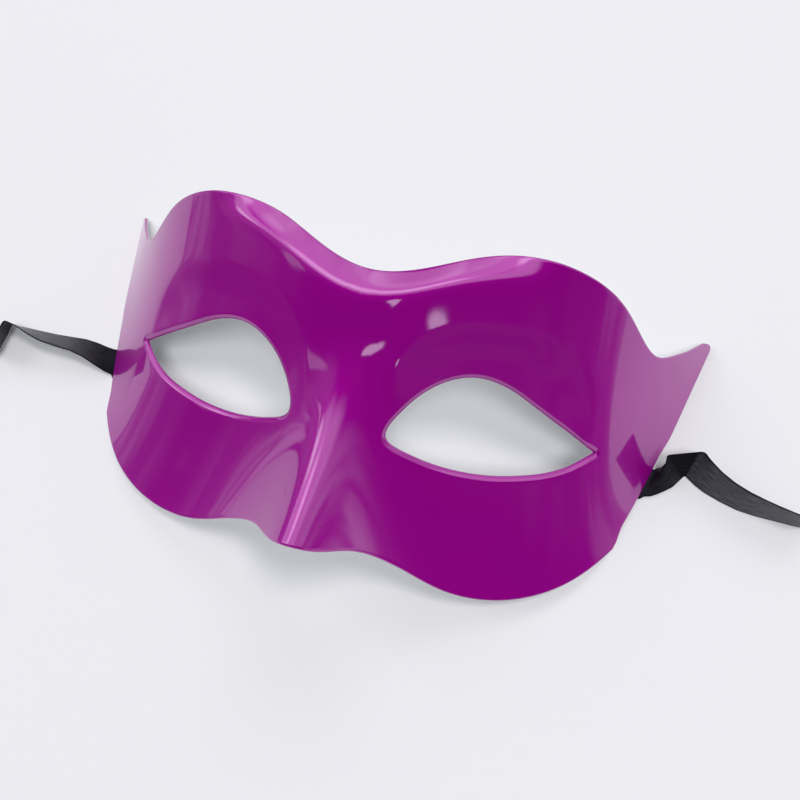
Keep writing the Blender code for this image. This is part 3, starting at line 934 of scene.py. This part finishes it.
@dataclass(frozen=True)
class SoftBox:
    """A rectangular soft light that faces the mask.

    Attributes:
        azimuth, elevation: degrees from +Y towards +X, and above the surface.
        width, height: degrees across and from edge to edge upwards, seen from the mask.
        strength, colour: brightness of its face and colour of its light.
        distance: metres from the mask.
    """

    name: str
    azimuth: float
    elevation: float
    width: float
    height: float
    strength: float
    colour: tuple = (1.0, 1.0, 1.0)
    distance: float = 6.0

    def place(self) -> None:
        """Put the light in the scene, out of sight of the camera and of gloss."""
        turn, rise = math.radians(self.azimuth), math.radians(self.elevation)
        out = Vector((math.sin(turn) * math.cos(rise), math.cos(turn) * math.cos(rise), math.sin(rise)))
        data = bpy.data.lights.new(self.name, "AREA")
        data.shape = "RECTANGLE"
        data.size, data.size_y = (2 * self.distance * math.tan(math.radians(angle / 2))
                                  for angle in (self.width, self.height))
        data.energy = self.strength * math.pi * data.size * data.size_y
        data.color = self.colour
        lamp = bpy.data.objects.new(self.name, data)
        bpy.context.scene.collection.objects.link(lamp)
        right = Vector((0.0, 0.0, 1.0)).cross(out).normalized()
        face = Matrix((right, out.cross(right), out)).transposed().to_4x4()
        lamp.matrix_world = Matrix.Translation(out * self.distance) @ face
        lamp.visible_camera = False
        lamp.visible_glossy = False


@dataclass(frozen=True)
class Glow:
    """A soft bright patch of the room, as gloss mirrors it, on a flat map of the sky.

    The map has the zenith in the middle, +X to the right and +Y up. Its scale is degrees from there.

    Attributes:
        place: middle of the patch on the map.
        half: half width and half height of the patch.
        turn: degrees that it is turned on the map.
        strength: brightness of its middle.
        edge: share of the half sizes over which it fades.
    """

    place: tuple
    half: tuple
    turn: float
    strength: float
    edge: float = 0.5


@dataclass
class Studio:
    """The pale surface, the soft light and the camera.

    Attributes:
        camera_right, camera_down, camera_ahead: directions right and down in its picture and into it.
        sensor, lens: width of its sensor and its focal length in millimetres.
        day, day_strength: colour and brightness of the daylight from all round.
        backdrop: colour that the camera sees past the surface.
        room: brightness of the room that gloss mirrors, between the patches.
        clutter, low_clutter: degrees that the patches' edges wander, and how many more near the horizon.
        wander: noise that moves them.
        low_range: degrees from the zenith between which the horizon's look comes in.
        streak_scale, streaks, streak_range: streaks in a degree each way, their noise and what counts of it.
        streak_light, even_light: brightness of the streaks near the horizon, and of the part without any.
        level: least level part of a direction, so that nothing is divided by 0 at the zenith.
        map_depth: scale of the map's third number, so large that it doesn't count.
    """

    floor_half: float = 3.0
    camera_place: tuple = (0.044083, -0.069550, 0.208244)
    camera_right: tuple = (0.957314, 0.282223, -0.062446)
    camera_down: tuple = (0.239842, -0.896159, -0.373329)
    camera_ahead: tuple = (-0.161323, 0.342416, -0.925595)
    sensor: float = 36.0
    lens: float = 36.06
    nearest: float = 0.01
    day: tuple = (0.94, 0.985, 1.0)
    day_strength: float = 0.20
    backdrop: tuple = (0.80, 0.805, 0.82)
    room: float = 0.005
    glow_colour: tuple = (1.0, 0.86, 1.04)
    clutter: float = 7.0
    low_clutter: float = 17.5
    wander: Noise = Noise(4.5, 4.0)
    low_range: tuple = (45.0, 80.0)
    streak_scale: tuple = (0.11, 0.035, 1.0)
    streaks: Noise = Noise(1.0, 2.0)
    streak_range: tuple = (0.42, 0.55)
    streak_light: tuple = (0.35, 1.2)
    even_light: float = 0.85
    level: float = 0.001
    map_depth: float = 1000.0
    glows: tuple = (
        Glow((-9, 44), (21, 43), -23, 1.35),
        Glow((8, 13), (37, 23), -1, 1.35),
        Glow((36, 52), (37, 74), 27, 0.8),
        Glow((2, -35), (3, 9), 18, 3.2, 0.35),
        Glow((25, -43.5), (4.5, 1.1), 8, 3.2, 0.4),
        Glow((-60, 2), (23, 42), 50, 0.22),
        Glow((-82, -1), (7, 19), 44, 0.7),
        Glow((-98, 8), (8, 16), 0, 0.6),
        Glow((97, 8), (8, 16), 30, 1.0),
        Glow((43, -47), (13, 100), -60, 0.06),
        Glow((-54, -21), (21, 53), -54, 0.04),
        Glow((-13, 22), (18, 13), 40, 1.7),
        Glow((-48, -26), (6, 12), -30, 0.9),
        Glow((-72, -22), (16, 22), 30, 0.18, 1.0),
        Glow((-47, 11), (7, 9), 0, 2.4),
        Glow((-41, 17), (16, 39), 57, 1.5),
        Glow((-131, -10), (64, 20), -8, 1.1),
        Glow((-30, 51), (13, 38), -37, 1.15),
        Glow((-57, 6), (14, 3), 71, 1.3),
        Glow((120, 63), (95, 20), 60, 2.0),
    )
    boxes: tuple = (
        SoftBox("key", 68.0, 75.0, 15.0, 15.0, 13.3, (1.0, 0.945, 0.965)),
        SoftBox("fill", 147.5, 68.6, 14.0, 14.0, 17.8, (0.945, 0.98, 1.0)),
        SoftBox("window", -5.0, 38.0, 44.0, 30.0, 1.45, (0.95, 0.99, 1.0), 2.0),
        SoftBox("left_window", -80.0, 42.0, 30.0, 24.0, 2.6, (0.98, 0.98, 1.0)),
    )

    def lay_floor(self, finish: PaperFinish) -> None:
        """A wide level surface at the height of the mask's rims."""
        bpy.ops.mesh.primitive_plane_add(size=2 * self.floor_half)
        floor = bpy.context.object
        floor.name = "pale_table"
        floor.data.materials.append(finish.make())

    def set_world(self) -> None:
        """Even daylight from all round, for gloss a dark room with bright patches, and a pale backdrop."""
        world = bpy.data.worlds.new("room")
        bpy.context.scene.world = world
        world.use_nodes = True
        nodes, build = world.node_tree.nodes, NodeBuilder(world.node_tree)
        light = nodes["Background"]
        build.feed(light, {"Color": (*self.day, 1.0), "Strength": self.day_strength})
        glow = {"Color": (*self.glow_colour, 1.0), "Strength": self.sky_map(build)}
        mirrored = build.add("ShaderNodeBackground", glow)
        seen = build.add("ShaderNodeBackground", {"Color": (*self.backdrop, 1.0)})
        lit = light.outputs["Background"]
        for ray, background in (("Is Glossy Ray", mirrored), ("Is Camera Ray", seen)):
            is_ray = build.add("ShaderNodeLightPath", {}, ray)
            lit = build.add("ShaderNodeMixShader", {"Fac": is_ray, 1: lit, 2: background})
        build.feed(nodes["World Output"], {"Surface": lit})
        world.cycles.sampling_method = "NONE"
        bpy.context.scene.view_settings.view_transform = "Standard"

    def sky_map(self, build: NodeBuilder) -> Output:
        """Brightness of the mirrored room: the patches over a dark ground, with uneven edges.

        Args:
            build: builder of the world's nodes.

        Returns:
            Output with the brightness.
        """
        work = build.work
        way = build.add("ShaderNodeTexCoord", {}, "Generated")
        x, y, z = (build.add("ShaderNodeSeparateXYZ", {"Vector": way}, axis) for axis in "XYZ")
        angle = work("MULTIPLY", work("ARCCOSINE", z), math.degrees(1.0))
        level = work("SQRT", work("ADD", work("MULTIPLY", x, x), work("MULTIPLY", y, y)))
        scale = work("DIVIDE", angle, work("MAXIMUM", level, self.level))
        spread = {"X": work("MULTIPLY", x, scale), "Y": work("MULTIPLY", y, scale)}
        flat = build.add("ShaderNodeCombineXYZ", spread)
        low = build.remap(angle, self.low_range, WHOLE, Ramp.SMOOTH)
        wander = build.move("SUBTRACT", {0: build.noise(self.wander, way, "Color"), 1: (0.5, 0.5, 0.5)})
        degrees = work("ADD", work("MULTIPLY", low, self.low_clutter), self.clutter)
        wander = build.move("SCALE", {0: wander, "Scale": degrees})
        patches = self.patches(build, build.move("ADD", {0: wander, 1: flat}))
        drawn_out = build.add("ShaderNodeMapping", {"Scale": self.streak_scale, "Vector": flat})
        streaks = build.remap(build.noise(self.streaks, drawn_out), self.streak_range, self.streak_light)
        return work("MULTIPLY", patches, build.blend(Blend.NUMBERS, low, self.even_light, streaks))

    def patches(self, build: NodeBuilder, spot: Output) -> Output:
        """Brightness of the patches and of the ground between them.

        Args:
            build: builder of the world's nodes.
            spot: output with the place on the map.

        Returns:
            Output with the brightness.
        """
        total = self.room
        for glow in self.glows:
            local = build.add("ShaderNodeMapping", {
                "Vector": spot,
                "Location": (*glow.place, 0.0),
                "Rotation": (0.0, 0.0, math.radians(glow.turn)),
                "Scale": (*glow.half, self.map_depth),
            }, vector_type="TEXTURE")
            reach = build.add("ShaderNodeVectorMath", {0: local}, "Value", operation="LENGTH")
            fade = build.remap(reach, (1.0, 1.0 - glow.edge), (0.0, glow.strength), Ramp.SMOOTH)
            total = build.work("ADD", total, fade)
        return total

    def set_lights(self) -> None:
        """Put up the soft boxes."""
        for box in self.boxes:
            box.place()

    def set_camera(self) -> None:
        """The camera at the photograph's place and angle."""
        data = bpy.data.cameras.new("camera")
        data.sensor_width = self.sensor
        data.lens = self.lens
        data.clip_start = self.nearest
        camera = bpy.data.objects.new("camera", data)
        bpy.context.scene.collection.objects.link(camera)
        right, down, ahead = Vector(self.camera_right), Vector(self.camera_down), Vector(self.camera_ahead)
        turn = Matrix((right, -down, -ahead)).transposed().to_4x4()
        camera.matrix_world = Matrix.Translation(self.camera_place) @ turn
        bpy.context.scene.camera = camera


RIGHT_CROSSING = -0.0084
RIGHT_ROUTE = (
    (79.5, 6.3, 0.4, 77.3, -2.3, 0.4),
    (79.9, 5.7, 3.0, 79.0, -1.8, 0.4),
    (80.0, 5.5, 5.0, 80.6, -0.7, 0.4),
    (80.2, 5.9, 6.6, 82.2, 0.6, 0.4),
    (80.2, 6.7, 7.4, 84.0, 2.2, 0.4),
    (80.2, 7.7, 7.6, 86.0, 5.3, 0.4),
    (80.7, 8.0, 7.7, 86.4, 5.9, 0.5),
    (88.4, 10.7, 8.5, 86.9, 6.1, 0.5),
    (89.1, 10.6, 8.6, 87.2, 5.9, 0.5),
    (90.1, 9.5, 8.6, 88.1, 5.3, 0.4),
    (91.6, 8.2, 8.7, 89.9, 4.1, 0.4),
    (93.7, 6.5, 8.8, 92.2, 3.0, 0.3),
    (97.2, 4.5, 8.9, 96.5, 1.6, 0.3),
    (101.0, 3.0, 9.0, 101.2, 0.5, 0.3),
    (104.7, 2.0, 9.1, 105.7, 0.2, 0.3),
    (108.4, 1.2, 9.1, 110.0, 0.2, 0.3),
    (112.1, 0.6, 9.0, 114.2, 0.2, 0.3),
    (114.8, 0.2, 8.9, 117.4, 0.3, 0.3),
)
# Sheen painted along the right ribbon: metres from its held end and its strength; the low values paint shade
# near the rim and on the fold's facet.
RIGHT_PAINTED_SHEEN = ((0.0, 0.1), (0.0225, 0.25), (0.0235, 0.03), (0.0272, 0.03), (0.0282, 0.75), (0.034, 1.0))
LEFT_CROSSING = -0.0121
LEFT_ROUTE = (
    (-78.0, 0.9, 0.4, -75.4, -6.8, 0.4),
    (-80.4, 1.1, 0.3, -77.4, -6.7, 1.6),
    (-84.2, 1.6, 0.3, -80.6, -6.0, 3.6),
    (-88.0, 1.8, 0.3, -83.8, -5.1, 5.0),
    (-92.2, 1.4, 0.3, -87.9, -4.5, 5.9),
    (-97.0, 1.0, 0.3, -92.5, -4.5, 6.4),
    (-101.9, 0.8, 0.3, -97.2, -4.3, 6.9),
    (-106.3, 0.7, 0.3, -101.3, -3.4, 7.4),
    (-109.7, 0.6, 0.3, -104.6, -2.3, 7.8),
    (-111.8, 0.7, 0.3, -107.2, -1.8, 8.3),
    (-112.2, 0.5, 0.3, -109.1, -1.6, 8.6),
    (-112.4, -0.3, 0.3, -109.3, -2.4, 8.6),
    (-112.2, -2.9, 0.3, -109.3, -4.8, 8.6),
    (-112.3, -5.2, 0.3, -109.2, -7.1, 8.6),
    (-112.4, -7.4, 0.3, -109.2, -9.4, 8.5),
    (-112.6, -9.6, 0.3, -109.3, -11.6, 8.3),
)
# Sheen painted along the left ribbon: metres from its held end and its strength; the low values paint shade
# near the rim and at the fold.
LEFT_PAINTED_SHEEN = ((0.0, 0.1), (0.017, 0.12), (0.028, 0.75), (0.044, 1.0), (0.0485, 0.6), (0.050, 0.3),
              (0.056, 0.8))


def main() -> None:
    """Build the studio, the shell and the ribbons."""
    logging.basicConfig(level=logging.INFO, format="%(message)s")
    studio = Studio()
    studio.set_camera()
    studio.lay_floor(PaperFinish())
    studio.set_world()
    studio.set_lights()
    shell = MaskShell()
    shell.dress(shell.build(), PlasticFinish())
    satin = SatinFinish().make()
    for side, route, crossing, painted_sheen in ((Side.RIGHT, RIGHT_ROUTE, RIGHT_CROSSING, RIGHT_PAINTED_SHEEN),
                                         (Side.LEFT, LEFT_ROUTE, LEFT_CROSSING, LEFT_PAINTED_SHEEN)):
        ribbon = Ribbon(side, route, crossing, painted_sheen, shell.form)
        ribbon.dress(ribbon.build(), satin)


if __name__ == "__main__":
    main()
